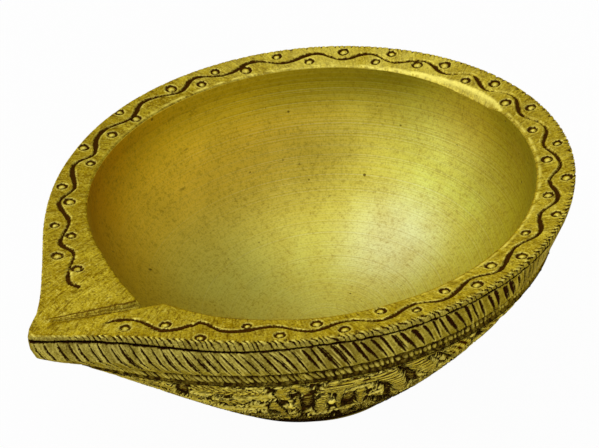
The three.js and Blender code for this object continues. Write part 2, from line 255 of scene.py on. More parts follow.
def cutBrass(name, look):
    # Sand-cast brass, chased and engraved by hand. Its land is satin with file marks, the cuts
    # hold a matt dark brown tarnish with ragged edges, and burrs and high spots are rubbed bright.
    # The same dark coat paints shade at the shell's foot and under the bead band, and the bright
    # one paints highlights on edges, crests and pearls, and glints along the file marks.
    material, tree = bareMaterial(name)
    where = addNode(tree, "TexCoord", {}, "Object")
    sootAndShade, rubAndHighlight, stainAndShade, along, across, veins = (
        addNode(tree, "Attribute", {}, "Fac", attribute_name=label)
        for label in ("sootAndShade", "rubAndHighlight", "stainAndShade", "along", "across", "veins"))
    worked = addNode(tree, "CombineXYZ", [along, across])
    worked = addNode(tree, "Mapping", {"Vector": worked, "Scale": look["streakShape"]})
    cloud, grit, sand, streak, ragged = (
        addNode(tree, "TexNoise", {"Vector": place, "Scale": perMetre(look[size]),
                                   "Detail": detail, "Roughness": roughness})
        for place, size, detail, roughness in (
            (where, "cloudSize", 3.0, 0.6), (where, "gritSize", 3.0, 0.6),
            (where, "sandSize", 2.0, 0.7), (worked, "streakSize", 3.0, 0.6),
            (where, "raggedSize", 2.0, 0.5)))

    if look["scored"]:
        # thin scored lines, gone brown, at these distances from the channel's far lip
        score = addNode(tree, "Attribute", {}, "Fac", attribute_name="score")
        uneven = addNode(tree, "TexNoise", {"Vector": where, "Detail": 3.0,
                                            "Scale": perMetre(look["unevenSize"])})
        uneven = addNode(tree, "MapRange", [uneven, 0.3, 0.7, -0.2, 0.2])
        score = addNode(tree, "Math", [score, uneven], operation="ADD")
        for place, half, share in look["scored"]:
            off = addNode(tree, "Math", [score, place], operation="SUBTRACT")
            off = addNode(tree, "Math", [off], operation="ABSOLUTE")
            line = addNode(tree, "MapRange", [off, half * 0.5, half * 1.3, share, 0.0])
            stainAndShade = addNode(tree, "Math", [stainAndShade, line], operation="MAXIMUM")
    ragged = addNode(tree, "MapRange", [ragged, 0.3, 0.7, -0.13, 0.13])
    # the dark coat is tarnish in the cuts, and painted shade at the shell's foot and under the
    # bead band
    darkness = addNode(tree, "Math", [sootAndShade, ragged], operation="ADD")
    tarnishAndShade = addNode(tree, "MapRange", [darkness, -0.09, 0.15], interpolation_type="SMOOTHSTEP")
    # the points carry how many veins they are along a leaf, and the grooves follow from that
    turn = addNode(tree, "Math", [veins, 2 * math.pi], operation="MULTIPLY")
    wave = addNode(tree, "Math", [turn], operation="COSINE")
    groove = addNode(tree, "MapRange", [wave, 0.25, -0.7], interpolation_type="SMOOTHSTEP")
    inGroove = addNode(tree, "Math", [groove, look["veinTone"]], operation="MULTIPLY")
    onVein = addNode(tree, "MapRange", [veins, 0.0, 0.02])
    # painted highlights on the crests between the veins
    crestHighlight = addNode(tree, "MapRange", [wave, 0.3, 0.95, 0.0, look["veinShine"]])
    crestHighlight = addNode(tree, "Math", [crestHighlight, onVein], operation="MULTIPLY")

    brownFrom = look["gritFrom"]
    coats = [(addNode(tree, "MapRange", [pattern, low, high, 0.0, share]), tone)
             for pattern, low, high, share, tone in (
                 (cloud, 0.35, 0.65, 1.0, "cloud"),
                 (streak, 0.42, 0.28, look["glint"], "bright"),
                 (sand, 0.54, 0.7, look["sandDepth"], "bright"),
                 (sand, 0.46, 0.3, look["sandDepth"], "brown"),
                 (grit, brownFrom, brownFrom + 0.12, look["gritDepth"], "brown"),
                 (streak, brownFrom, brownFrom + 0.14, look["streakDepth"], "brown"))]
    coats += [(stainAndShade, "brown"), (rubAndHighlight, "bright"), (crestHighlight, "bright"), (inGroove, "sootAndShade"),
              (tarnishAndShade, "sootAndShade")]
    colour = srgb(look["land"])
    for share, tone in coats:
        colour = addNode(tree, "Mix", {0: share, 6: colour, 7: srgb(look[tone])}, 2,
                         data_type="RGBA")

    rough = addNode(tree, "MapRange", [grit, 0.3, 0.7, look["roughness"] - 0.08,
                                       look["roughness"] + 0.1])
    rough = addNode(tree, "Mix", {0: tarnishAndShade, 2: rough, 3: 0.85}, data_type="FLOAT")
    metal = addNode(tree, "MapRange", [tarnishAndShade, 0.2, 1.0, 1.0, 0.15])
    height = addNode(tree, "Math", [grit, streak], operation="ADD")
    normal = addNode(tree, "Bump", {"Height": height, "Distance": look["gritHeight"] * mm})
    normal = addNode(tree, "Bump", {"Height": cloud, "Distance": look["dentHeight"] * mm,
                                    "Normal": normal})
    normal = addNode(tree, "Bump", {"Height": groove, "Distance": look["veinDepth"] * mm,
                                    "Normal": normal}, invert=True)
    shader = addNode(tree, "BsdfPrincipled",
                     {"Base Color": colour, "Metallic": metal, "Roughness": rough,
                      "Specular IOR Level": 0.0, "Specular Tint": srgb(look["grazing"]),
                      "Normal": normal})
    addNode(tree, "OutputMaterial", {"Surface": shader}, None)
    return material


# sizes, heights and the veins' depth in mm, the rest as shares of a full coat
castLook = {
    "sandSize": 0.36, "sandDepth": 0.7, "cloudSize": 4.0, "gritSize": 0.7, "raggedSize": 0.6,
    "unevenSize": 1.6, "roughness": 0.46, "scored": [],
    "veinTone": 0.0, "veinShine": 0.0, "veinDepth": 0.0,
}
engravedLook = dict(castLook, **{
    "land": "#c8b434", "cloud": "#ac941c", "brown": "#5e4208", "sootAndShade": "#503008",
    "bright": "#f4e670", "grazing": "#d8bc58", "cloudSize": 5.0, "gritSize": 0.75,
    "gritFrom": 0.53, "gritDepth": 0.6, "gritHeight": 0.10, "streakSize": 0.55,
    "streakShape": (1.0, 0.16, 1.0), "streakDepth": 0.8, "glint": 0.7, "dentHeight": 0.45,
    "roughness": 0.42,
    "scored": [(-0.05, 0.3, 0.95), (0.75, 0.2, 0.6), (1.35, 0.26, 0.85), (2.3, 0.2, 0.5)],
})
slantLook = dict(castLook, **{
    "land": "#a89a40", "cloud": "#8e8030", "brown": "#54400e", "sootAndShade": "#381c08",
    "bright": "#e0d06a", "grazing": "#c8b47c", "gritFrom": 0.54, "gritDepth": 0.4,
    "gritHeight": 0.08, "streakSize": 0.5, "streakShape": (1.0, 0.3, 1.0), "streakDepth": 0.4,
    "glint": 0.4, "dentHeight": 0.3,
})
carvedLook = dict(castLook, **{
    "land": "#a6942c", "cloud": "#86741a", "brown": "#4a360a", "sootAndShade": "#3a260c",
    "bright": "#f2e270", "grazing": "#b8a050", "veinTone": 1.0, "veinShine": 0.55,
    "veinDepth": 0.45, "gritFrom": 0.52, "gritDepth": 0.6, "gritHeight": 0.12,
    "streakSize": 0.6, "streakShape": (1.0, 0.35, 1.0), "streakDepth": 0.55, "glint": 0.45,
    "dentHeight": 0.4,
})
engravedBrass = cutBrass("filed_and_engraved_brass", engravedLook)
slantBrass = cutBrass("chased_band_brass", slantLook)
carvedBrass = cutBrass("chased_leaf_brass", carvedLook)


def turnedBrass(name, look):
    # Brass turned on a lathe: satin, with fine rings from the tool, a few pits and faint stains.
    material, tree = bareMaterial(name)
    where = addNode(tree, "TexCoord", {}, "Object")
    centred = addNode(tree, "Mapping",
                      {"Vector": where, "Location": (0, -look["middle"] * mm, 0)})
    x, y, z = addNode(tree, "SeparateXYZ", [centred], None)
    flat = addNode(tree, "CombineXYZ", [x, y])
    fromAxis = addNode(tree, "VectorMath", [flat], "Value", operation="LENGTH")
    along = addNode(tree, "Math", [fromAxis, z], operation="ADD")
    rings = addNode(tree, "TexNoise", {"W": along, "Scale": perMetre(look["ringSize"]),
                                       "Detail": 3.0, "Roughness": 0.7}, noise_dimensions="1D")
    patchy, grit, fine = (
        addNode(tree, "TexNoise", {"Vector": where, "Scale": perMetre(look[size]),
                                   "Detail": detail, "Roughness": roughness})
        for size, detail, roughness in (
            ("patchSize", 3.0, 0.6), ("gritSize", 4.0, 0.7), ("grainSize", 2.0, 0.6)))

    speck = addNode(tree, "TexVoronoi",
                    {"Vector": where, "Scale": perMetre(look["pitSpacing"])}, None)
    chance = addNode(tree, "SeparateColor", [speck["Color"]], None)
    pitEdge = addNode(tree, "MapRange", [chance[1], 0.0, 1.0, look["pitSize"] * 0.35,
                                         look["pitSize"] * 1.3])
    pits = addNode(tree, "Math", [pitEdge, speck["Distance"]], operation="SUBTRACT")
    pits = addNode(tree, "MapRange", [pits, -0.03, 0.02])
    some = addNode(tree, "MapRange", [chance[0], 0.5, 0.9])
    pits = addNode(tree, "Math", [pits, some], operation="MULTIPLY")
    # short nicks from use
    bent = addNode(tree, "Mapping", {"Vector": where, "Rotation": (0.3, 0.5, 0.6),
                                     "Scale": (1.0, 0.3, 1.0)})
    nick = addNode(tree, "TexVoronoi",
                   {"Vector": bent, "Scale": perMetre(look["nickSpacing"])}, None)
    chance = addNode(tree, "SeparateColor", [nick["Color"]])
    inNick = addNode(tree, "MapRange", [nick["Distance"], 0.035, 0.085, 1.0, 0.0])
    some = addNode(tree, "MapRange", [chance, 0.6, 0.95])
    nicks = addNode(tree, "Math", [inNick, some], operation="MULTIPLY")
    pits = addNode(tree, "Math", [pits, nicks], operation="MAXIMUM")

    # golden over the wall and paler on the floor, and browner towards the spout's side: painted
    # light and shade inside the bowl
    coats = [
        (addNode(tree, "MapRange", [x] + [v * mm for v in look["goldenAcross"]]), "golden"),
        (addNode(tree, "MapRange", [z] + [v * mm for v in look["landBelow"]]), "land")]
    # painted shade: the far wall is olive below the lip, further down towards the spout
    tilted = addNode(tree, "Math", [x, -0.25, z], operation="MULTIPLY_ADD")
    band = addNode(tree, "MapRange", [tilted] + [v * mm for v in look["oliveAbove"]],
                   interpolation_type="SMOOTHSTEP")
    behind = addNode(tree, "MapRange", [y, -2 * mm, 26 * mm, 0.0, look["lipShade"]])
    coats.append((addNode(tree, "Math", [band, behind], operation="MULTIPLY"), "olive"))
    # painted highlights: pale in the middle of the far wall, and bright near the lip away from the
    # spout
    for centre, reach, share, tone in look["highlightSpots"]:
        away = addNode(tree, "VectorMath", [where, tuple(v * mm for v in centre)], "Value",
                       operation="DISTANCE")
        coats.append((addNode(tree, "MapRange", [away, 2 * mm, reach * mm, share, 0.0],
                              interpolation_type="SMOOTHSTEP"), tone))
    # the tool's rings are plainest high up on the far wall
    clearer = addNode(tree, "MapRange", [y, -5 * mm, 32 * mm, 0.25, 1.0])
    for low, high, tone in ((0.52, 0.7, "speck"), (0.48, 0.34, "pale")):
        ringTone = addNode(tree, "MapRange", [rings, low, high, 0.0, look["ringTone"]])
        coats.append((addNode(tree, "Math", [ringTone, clearer], operation="MULTIPLY"), tone))
    stained = addNode(tree, "MapRange", [patchy, 0.4, 0.7, 0.0, look["stainDepth"]])
    gritty = addNode(tree, "MapRange", [grit, 0.5, 0.7, 0.0, look["gritDepth"]])
    uneven = addNode(tree, "MapRange", [patchy, 0.35, 0.6, 0.35, 1.0])
    dusty = addNode(tree, "Math", [gritty, uneven], operation="MULTIPLY")
    grained = addNode(tree, "MapRange", [fine, 0.5, 0.7, 0.0, look["grainDepth"]])
    inPit = addNode(tree, "MapRange", [pits, 0.0, 1.0, 0.0, 0.8])
    coats += [(stained, "stainAndShade"), (dusty, "speck"), (grained, "speck"), (inPit, "pit")]
    colour = srgb(look["browner"])
    for share, tone in coats:
        colour = addNode(tree, "Mix", {0: share, 6: colour, 7: srgb(look[tone])}, 2,
                         data_type="RGBA")

    rough = addNode(tree, "MapRange", [patchy, 0.3, 0.7, look["roughness"] - 0.03,
                                       look["roughness"] + 0.05])
    sunk = addNode(tree, "MapRange", [pits, 0.0, 1.0, 0.0, -2.0])
    height = addNode(tree, "Math", [rings, sunk], operation="ADD")
    normal = addNode(tree, "Bump", {"Height": height, "Distance": look["ringHeight"] * mm})
    normal = addNode(tree, "Bump", {"Height": grit, "Distance": look["gritHeight"] * mm,
                                    "Normal": normal})
    shader = addNode(tree, "BsdfPrincipled",
                     {"Base Color": colour, "Metallic": 1.0, "Roughness": rough,
                      "Specular Tint": srgb(look["grazing"]), "Normal": normal})
    addNode(tree, "OutputMaterial", {"Surface": shader}, None)
    return material


bowlLook = {
    "middle": form["bowlMiddle"],
    "land": "#c8c256", "golden": "#d8dc5c", "browner": "#e8c034", "pale": "#d4d4a4",
    "highlightTone": "#fffc78", "olive": "#7e7a18", "stainAndShade": "#c4aa30", "speck": "#86690c",
    "pit": "#4a3208", "grazing": "#dccc58",
    # where one tone gives way to the next, in mm
    "goldenAcross": (-44, -6), "landBelow": (26, 11), "oliveAbove": (43.5, 51.5),
    "lipShade": 0.5,
    # centre and reach of a painted highlight in mm, how much, and its tone
    "highlightSpots": [((-5, 30, 17), 20, 0.6, "pale"), ((-4, 47, 41), 18, 1.0, "highlightTone")],
    "stainDepth": 0.32, "ringSize": 0.48, "ringHeight": 0.04, "ringTone": 0.33,
    "patchSize": 9.0, "gritSize": 1.0, "gritDepth": 0.5, "gritHeight": 0.03,
    "grainSize": 0.45, "grainDepth": 0.35, "pitSpacing": 3.0, "pitSize": 0.085,
    "nickSpacing": 4.5, "roughness": 0.36,
}
# the foot's tones are all one dark olive: painted shade of the underside
footLook = dict(bowlLook, middle=0.0, land="#5e5420", golden="#5e5420", browner="#5e5420",
                pale="#5e5420", stainAndShade="#4c4218", highlightSpots=[], roughness=0.46)
bowlBrass = turnedBrass("lathe_turned_brass", bowlLook)
footBrass = turnedBrass("turned_foot_brass", footLook)
print("finishes made")

# Outlines are (radius, reach of the spout, spread). Tables are (degrees, mm) unless they say so.
rim = {
    "columns": 2220,
    "mouthEdge": 49.4,  # radius at which the top meets the bowl
    # radius, reach, height from the rim's top and rows of the outer profile's corners
    "profile": [(55.75, 74.1, -0.14, 5), (57.15, 75.6, 0.0, 2), (57.45, 75.85, -0.3, 6)],
    "collar": (53.8, 69.7),
    "edgeLine": (57.3, 75.8, 0.24),
    # the groove under the edge was cut by hand: how far it strays up
    "seam": [(-180, 0.1), (-120, -0.3), (-70, 0.2), (-30, -0.2), (-8, 0.5), (0, 0.9), (5, 1.0),
             (12, 0.7), (20, 0), (28, -0.6), (35, -0.6), (42, -0.2), (50, 0.4), (60, 0.3),
             (70, 0.2), (80, 0.5), (90, 0.6), (110, 0.2), (180, 0.1)],
    # the mouth's edge is worn to a slope at the back: mm across
    "worn": [(-180, 1.6), (-174, 1.45), (-166, 1.0), (-154, 0.5), (-140, 0), (150, 0),
             (167, 0), (170, 0.7), (174, 1.5), (180, 1.6)],
    # how far the mouth's edge is dressed out towards the spout
    "mouthDraw": [(-24, 0), (-16, 0.1), (-7.5, 1.0), (-0.6, 2.3), (3.4, 3.1), (6.8, 4.2),
                  (8.2, 4.0), (9.8, 3.1), (11.3, 2.4), (12.9, 1.8), (14.5, 1.6), (20, 1.5),
                  (26, 1.4), (31.5, 1.0), (40, 0.6), (52, 0.4), (70, 0)],
    "drawnFrom": 24.0,  # the height from which the bowl's wall follows it
    # the far flank was filed a little flatter, from this radius outwards
    "flank": [(-130, 0), (-95, 0.5), (-75, 0.8), (-60, 1.1), (-30, 0.85), (-14, 1.1),
              (-7, 1.5), (-4, 1.5), (-1.5, 0.3), (0, 0)],
    "flankFrom": 50.5,
    "vineStart": [(7.2, 63.1), (7.9, 61.7), (9, 60.6), (10.5, 59.2), (12.6, 58.6), (14.9, 58.9),
                  (17, 59.5), (18.5, 59.4), (20, 58.6), (21.6, 57.2), (22.8, 55.6), (23.9, 54.9)],
    "vineBends": [7.2, 16, 24.5, 31, 41.5, 49, 57.5, 64.5, 73, 79.5, 88, 95, 103.5, 111, 118.5,
                  124.5, 133, 140, 148.5, 155.5, 164, 172, 179.5, 186, 193, 200, 208, 214, 221,
                  228, 236.5, 243.5, 251.5, 258.5, 265, 274.5, 281, 290.5, 299, 305.5, 314,
                  320.5, 329, 336.5, 341.5, 350.5, 354.5],
    "vineEdge": (56.9, 74.9, 0.24),  # the outline that its middle line keeps away from
    "vineMiddle": 0.53,  # share of the way from the mouth to that outline
    "vineSwing": 1.2,
    "vineWidth": 0.47,
    # how much wider every second leg of it is than the next
    "vineSwell": [(0, 0.12), (135, 0.12), (155, -0.2), (196, -0.2), (206, 0.15), (360, 0.15)],
    "vineDepth": 0.5,
    # share of its tarnish that rubbing has left
    "vineDark": [(-180, 0.55), (-155, 0.6), (-140, 1), (-9, 1), (7, 0.95), (16, 0.85),
                 (25, 0.9), (32, 0.65), (50, 0.85), (60, 0.9), (72, 1), (125, 1), (140, 0.75),
                 (155, 0.6), (180, 0.55)],
    # how brown the top has gone, and how bright it was rubbed
    "handled": [(-180, 0.16), (-165, 0.02), (-130, 0.05), (-100, 0.22), (-60, 0.34),
                (-20, 0.28), (-8, 0.14), (5, 0.14), (18, 0.3), (50, 0.26), (80, 0.12),
                (120, 0.1), (150, 0.24), (170, 0.28), (180, 0.16)],
    "polished": [(-180, 0.1), (-165, 0.35), (-150, 0.4), (-120, 0.3), (-95, 0), (180, 0.1)],
    "burr": 0.06,  # height of the burr beside a cut
    # degrees, and mm from the bowl's axis
    "outerRings": [(11.7, 62.2), (-165.5, 54.6), (-151, 55.0), (-139, 54.7), (-122.5, 54.8),
                   (-106.5, 54.2), (-94, 54.0), (-78.8, 55.7), (-62.5, 55.1), (-46, 55.1),
                   (-30.5, 56.2), (-18.8, 58.1), (27, 59.0), (42.8, 55.8), (56.3, 55.4),
                   (72.5, 54.4), (87.8, 54.6), (101.5, 55.3), (118.8, 55.5), (133.3, 55.5),
                   (147.8, 54.9), (164.8, 54.9), (179, 54.7)],
    "innerRings": [(-174, 51.9), (-159, 52.5), (-148, 51.5), (-130.5, 51.5), (-113.8, 51.8),
                   (-101.3, 51.5), (-79.3, 51.1), (-70.3, 51.8), (-57, 51.3), (-39.8, 52.8),
                   (-25.5, 53.4), (-12.3, 56.0), (18, 57.3), (35, 52.7), (50.5, 52.0),
                   (65.3, 51.0), (81.3, 51.6), (95.3, 51.7), (110.3, 51.5), (126.5, 52.1),
                   (142, 51.7), (156, 51.5), (170.8, 51.7)],
    "ringRadius": 0.98,
    "ringCut": 0.32,
    "ringDepth": 0.36,
    "ropePitch": 1.3,
    "ropeCut": 0.36,
    "ropeDepth": 0.5,
    "channelStart": 52.5,  # mm from the bowl's axis, along the spout
    "channelEnd": 71.0,
    "channelAtMouth": (6.5, 3.5, 1.4),  # sideways place of its steep far lip, width and depth
    "channelAtTip": (-2.2, 2.6, 0.35),
}


def vineOf(degrees, out):
    # Signed distance into the wavy groove, its half width there, and the side it lies on.
    bends = np.array(rim["vineBends"])
    grid = np.linspace(0, 360, 7201)
    step = np.interp(grid, bends, np.arange(len(bends)))
    edge = pulledOut(np.radians(wrapped(grid)), *rim["vineEdge"])
    middle = form["mouthRadius"] + rim["vineMiddle"] * (edge - form["mouthRadius"])
    line = middle - rim["vineSwing"] * np.cos(math.pi * step)
    line += 0.12 * handWobble(grid, 5, 9, 60)
    line = np.where(grid < rim["vineStart"][-1][0], tabled(rim["vineStart"], grid), line)
    line = np.convolve(np.concatenate([line[-8:], line, line[:8]]), np.ones(17) / 17, "valid")
    slope = np.gradient(line, np.radians(grid)) / line
    round360 = degrees % 360
    away = (out - np.interp(round360, grid, line)) / np.hypot(1, np.interp(round360, grid, slope))
    leg = np.interp(round360, bends, np.arange(len(bends)))
    width = rim["vineWidth"] + tabled(rim["vineSwell"], round360) * np.cos(math.pi * (leg - 1.4))
    width += 0.1 * around(degrees, 32, 0, 40) + 0.15 * around(degrees, 8.8, 0, 2.5)
    width += 0.04 * handWobble(degrees, 8, 40, 160)
    ends = np.minimum(round360 - bends[0], bends[-1] - round360) * 0.9
    width = np.minimum(width, np.clip(ends, -1, 1))
    return width - np.abs(away), width, away


def wallDrawn(degrees, height):
    # How far the bowl's wall is dressed out below the mouth's edge.
    climb = (height - rim["drawnFrom"]) / (form["mouthHeight"] - rim["drawnFrom"])
    return tabled(rim["mouthDraw"], degrees) * unit(climb) ** 1.6


def movedOut(base, degrees, shift):
    base[:, 0] += shift * np.sin(np.radians(degrees))
    base[:, 1] -= shift * np.cos(np.radians(degrees))


def filedFlank(base, degrees):
    # The far flank's inset grows from nothing near the mouth to its full depth at the edge.
    out = np.hypot(base[:, 0], base[:, 1] - form["bowlMiddle"])
    edge = pulledOut(np.radians(degrees), *rim["edgeLine"])
    share = unit((out - rim["flankFrom"]) / (edge - rim["flankFrom"]))
    movedOut(base, degrees, -tabled(rim["flank"], degrees) * share)


def channelOf(x, y):
    # The wick channel's depth at a place on the spout, how far that lies past its far lip, and
    # the share of the way to the tip. It falls steeply from that lip and rises slowly to the
    # near one.
    fromMouth = ((form["bowlMiddle"] - y - rim["channelStart"])
                 / (rim["channelEnd"] - rim["channelStart"]))
    share = np.clip(fromMouth, -0.3, 1)
    place, width, depth = (a + (b - a) * share for a, b in
                           zip(rim["channelAtMouth"], rim["channelAtTip"]))
    past = x - place
    inside = unit(np.minimum(past / 1.1, (width - past) / (width - 1.1)))
    inside = inside * inside * (3 - 2 * inside)
    fade = unit((1 - fromMouth) / 0.15) * unit((fromMouth + 0.4) / 0.3)
    return depth * inside * fade, past, share


def makeRim():
    top, foot, lipHeight, collarFoot, middle = (
        form[k] for k in ("rimTop", "slantTop", "mouthHeight", "collarFoot", "bowlMiddle"))
    collar, collarReach = rim["collar"]
    corners = [corner(bowlRadius(height), height, rows)
               for height, rows in ((collarFoot, 4), (47.5, 1), (lipHeight - 0.2, 1))]
    corners.append(corner(rim["mouthEdge"], lipHeight, 22))
    corners += [corner(radius, top + rise, rows, reach=reach)
                for radius, reach, rise, rows in rim["profile"]]
    corners += [corner(form["edgeRadius"], foot, reach=form["spoutReach"]),
                corner(collar, foot, reach=collarReach),
                corner(collar, collarFoot, reach=collarReach)]
    turned = turnForm("rim_plate_engraved", corners, rim["columns"])
    # the stations leave out the corners at 47.5 and in the top's outer strip
    station = np.interp(turned["station"], range(10), [0, 1, 1.9, 2, 2.82, 3, 4, 5, 6, 7])
    lip, brink, side, under = 2, 3, 4, 5  # the mouth's edge, the top's brink, and the edge's foot
    base, degrees = turned["base"], turned["degrees"]

    # the mouth's edge is dressed outwards towards the spout, and the wall below goes with it
    climb = unit((base[:, 2] - collarFoot) / (lipHeight - collarFoot))
    drawn = tabled(rim["mouthDraw"], degrees)
    movedOut(base, degrees, np.where(station <= lip, wallDrawn(degrees, base[:, 2]),
                                     drawn * unit(brink - station)))
    filedFlank(base, degrees)
    x, y = base[:, 0].copy(), base[:, 1].copy()
    out = np.hypot(x, y - middle)
    onTop = unit(np.minimum(station - lip + 0.2, brink + 0.2 - station) * 5)

    # the channel lowers the top and the wall below it together
    depth, across, share = channelOf(x, y)
    edge = rim["mouthEdge"] + drawn
    atEdge = channelOf(edge * np.sin(np.radians(degrees)),
                       middle - edge * np.cos(np.radians(degrees)))[0]
    base[:, 2] -= np.where(station < lip, atEdge * climb, depth * (station < brink + 0.2))
    worn = tabled(rim["worn"], degrees)
    slope = np.where(station < lip, worn, np.clip(worn - (out - rim["mouthEdge"]), 0, 3))
    slope = slope * (station < brink)
    base[:, 2] -= (0.5 * slope + 0.3 * slope ** 2) * np.where(station < lip, climb, 1.0)
    seam = tabled(rim["seam"], degrees)
    base[:, 2] += seam * unit(station - side) * (station < under + 0.5)

    cut, width, away = vineOf(degrees, out)
    raised = -rim["vineDepth"] * unit(cut / np.maximum(width, 0.1)) ** 0.7 * onTop
    burr = hump(np.abs(away) - width - 0.16, 0.15) * (width > 0.12)
    raised += rim["burr"] * burr * onTop
    onTop = onTop * (slope < 0.1)
    raised *= slope < 0.1
    faded = 1 - tabled(rim["vineDark"], degrees)
    # near the spout one wall of its wider legs carries a painted highlight in place of its tarnish
    highlightZone = around(degrees, 24, 18, 30)
    wallHighlight = (unit((away - 0.06) / 0.12) * unit(cut / 0.08 + 0.5) * highlightZone
               * unit((width - 0.46) / 0.1))
    sootAndShade = np.where(onTop > 0.5, cut * 0.8 - 0.34 * faded * (1 - highlightZone) - 0.7 * wallHighlight
                    + 0.05 * highlightZone * (cut > 0), -1.0)
    rubAndHighlight = np.maximum(0.85 * burr * np.where(away > 0, 0.5, 1.0), wallHighlight) * onTop
    rubAndHighlight *= patches(degrees, 71, 30, 160, 0.65)
    polished = tabled(rim["polished"], degrees) * patches(degrees, 72, 10, 60, 0.8, 0.4)
    rubAndHighlight = np.maximum(rubAndHighlight, polished * (sootAndShade < -0.1))

    # small punched rings, each a little lopsided, with a bright dot left standing inside; the
    # wider, darker part of each cut, turned mostly one way, is painted shade, and the dot is
    # rubbed bright, partly as a painted highlight
    for number, (spot, far) in enumerate(rim["outerRings"] + rim["innerRings"]):
        near = np.abs(wrapped(degrees - spot)) < 4
        turn = math.radians(spot)
        dx = x[near] - far * math.sin(turn)
        dy = y[near] - (middle - far * math.cos(turn))
        size = rim["ringRadius"] * (1 + 0.12 * math.sin(number * 2.4))
        reach = np.hypot(dx * (1 + 0.1 * math.sin(number * 5.1)), dy)
        lopsidedShade = 0.17 * np.cos(np.arctan2(dy, dx) - 2.5 + 0.8 * math.sin(number * 1.7))
        groove = rim["ringCut"] * (1 + 2.2 * lopsidedShade) + 0.02 - np.abs(reach - size)
        dot = hump(np.hypot(dx - 0.2, dy + 0.15), 0.45 * size)
        ringBurr = hump(reach - size - 0.45, 0.17)
        raised[near] += (rim["burr"] * (ringBurr + dot)
                         - rim["ringDepth"] * unit(groove / rim["ringCut"]) ** 0.7) * onTop[near]
        sootAndShade[near] = np.maximum(sootAndShade[near], np.where(onTop[near] > 0.5, groove - 0.05, -1))
        rubAndHighlight[near] = np.maximum(rubAndHighlight[near], (0.95 * dot + 0.5 * ringBurr) * onTop[near])

    # the rope edge: slanting notches filed across the rim's outer corner
    beat = (lengthRound(*rim["edgeLine"])(degrees) / rim["ropePitch"]
            - 0.55 * np.clip(station - brink, 0, 2) + 0.28 * handWobble(degrees, 3, 20, 90))
    fromNotch = np.abs(((beat + 0.5) % 1) - 0.5) * rim["ropePitch"]
    strength = 0.8 + 0.25 * handWobble(degrees, 4, 30, 140)
    strength *= np.clip((np.abs(degrees + 0.5) - 4.5) / 4, 0.05, 1)
    strength *= np.interp(np.abs(degrees), [90, 125], [1.15, 1.5])
    fromEdge = pulledOut(np.radians(degrees), *rim["edgeLine"]) - out
    onStrip = np.where(station < brink, unit(1 - fromEdge / 1.1), 1.0) * (station > 2.5)
    stops = [brink, side, 4.5, under]
    notchWide = rim["ropeCut"] * strength * onStrip * np.interp(station, stops, [1, 0.8, 0.5, 0.3])
    notch = unit(1 - fromNotch / np.maximum(notchWide, 0.02)) * (notchWide > 0.03)
    atCorner = onStrip * np.interp(station, stops, [0.9, 0.8, 0.5, 0.35])
    raised -= rim["ropeDepth"] * notch * atCorner * strength
    inNotch = notchWide * np.where(station < 3.5, 0.65, 0.95) - fromNotch
    sootAndShade = np.maximum(sootAndShade, np.where((onStrip > 0) & (station < under), inNotch, -1))
    # painted highlights on the rope's crests between the notches
    crestHighlight = unit(fromNotch * 3.0 - 0.6) * onStrip ** 2 * (station < 4.1)
    facet = unit(slope * 4) * np.interp(slope, [0.8, 1.1], [0.85, 0.3]) * (station >= lip)
    # a painted highlight: a thin bright line where the mouth's edge is sharp
    edgeHighlight = hump(out - rim["mouthEdge"] - 0.35, 0.3) * (station >= lip) * (slope < 0.05)
    edgeHighlight *= patches(degrees, 74, 20, 90, 0.6) * np.clip(np.abs(degrees) / 40 - 1.5, 0, 0.9)
    for shine in (facet, edgeHighlight, 0.95 * crestHighlight * patches(degrees, 6, 60, 200)):
        rubAndHighlight = np.maximum(rubAndHighlight, shine)

    # the dark line under the edge
    line = np.where(station > side, 0.22 + 0.1 * handWobble(degrees, 73, 20, 90)
                    - (base[:, 2] - foot - seam) * 0.8, -1)
    sootAndShade = np.maximum(sootAndShade, line)
    raised -= 0.25 * unit(line / 0.12) * (station < under + 0.5)

    # the channel is worn brown, with scored lines along it
    inChannel = (share > -0.3) * (share < 0.97) * (station < brink) * (station >= lip)
    score = np.where(inChannel, across * (1 + 0.6 * unit(share)), 9.0)
    trough = unit(1 - np.abs(across - 0.7) / 1.5) * inChannel
    stainAndShade = unit(np.interp(station, [3.6, 4.2], [0, 0.1]) + 0.12 * trough
                 + tabled(rim["handled"], degrees) * (station < 3.5)
                 + 0.1 * handWobble(degrees, 9, 20, 120))
    # nothing stands above the rim's top
    raised = np.where(onTop > 0, np.minimum(raised, top - base[:, 2]), raised)
    marks = {"sootAndShade": sootAndShade, "rubAndHighlight": unit(rubAndHighlight) * (trough < 0.1), "stainAndShade": stainAndShade, "score": score,
             "along": (np.radians(degrees) * 57 - 0.35 * out) * mm, "across": out * mm}
    piece = finishPiece(turned, raised, marks, engravedBrass, "rim_plate")
    # the tool that turned the bowl went through the rim, and its edge was filed with the band
    piece.data.materials.append(bowlBrass)
    piece.data.materials.append(slantBrass)
    place = faceMeans(piece.data, station)
    which = np.where(place < 1.9, 1, np.where(place > side, 2, 0))
    piece.data.polygons.foreach_set("material_index", which.astype(np.int32))


makeRim()

slant = {
    "columns": 2000,
    # radius, height, reach and spread of the face's corners below its top
    "profile": [(53.25, form["slantFoot"], 68.3, 0.41), (54.2, 40.3, 72.5, 0.367),
                (55.175, 42.35, 75.2, 0.325), (56.15, 44.4, 76.15, 0.282)],
    "collar": (54.1, 70.3),
    "faceLength": 8.98,  # from the rim down to the beads
    "runLine": (55.5, 74.0, 0.3),  # the outline that the cuts are counted along
    "pitch": 2.05,
    "jitter": 0.3,
    "traits": 400,  # sets of traits that the cuts take turns with
    # degrees that a cut moves round from its top to its foot, by its place
    "lean": [(-180, 4.2), (-18, 4.2), (-5, 1.0), (0, 0.5), (3, 1.5), (8, 2.8), (13, 3.5),
             (30, 3.6), (45, 3.8), (70, 4.2), (85, 4.8), (100, 4.6), (180, 4.2)],
    "depth": 0.5,
}


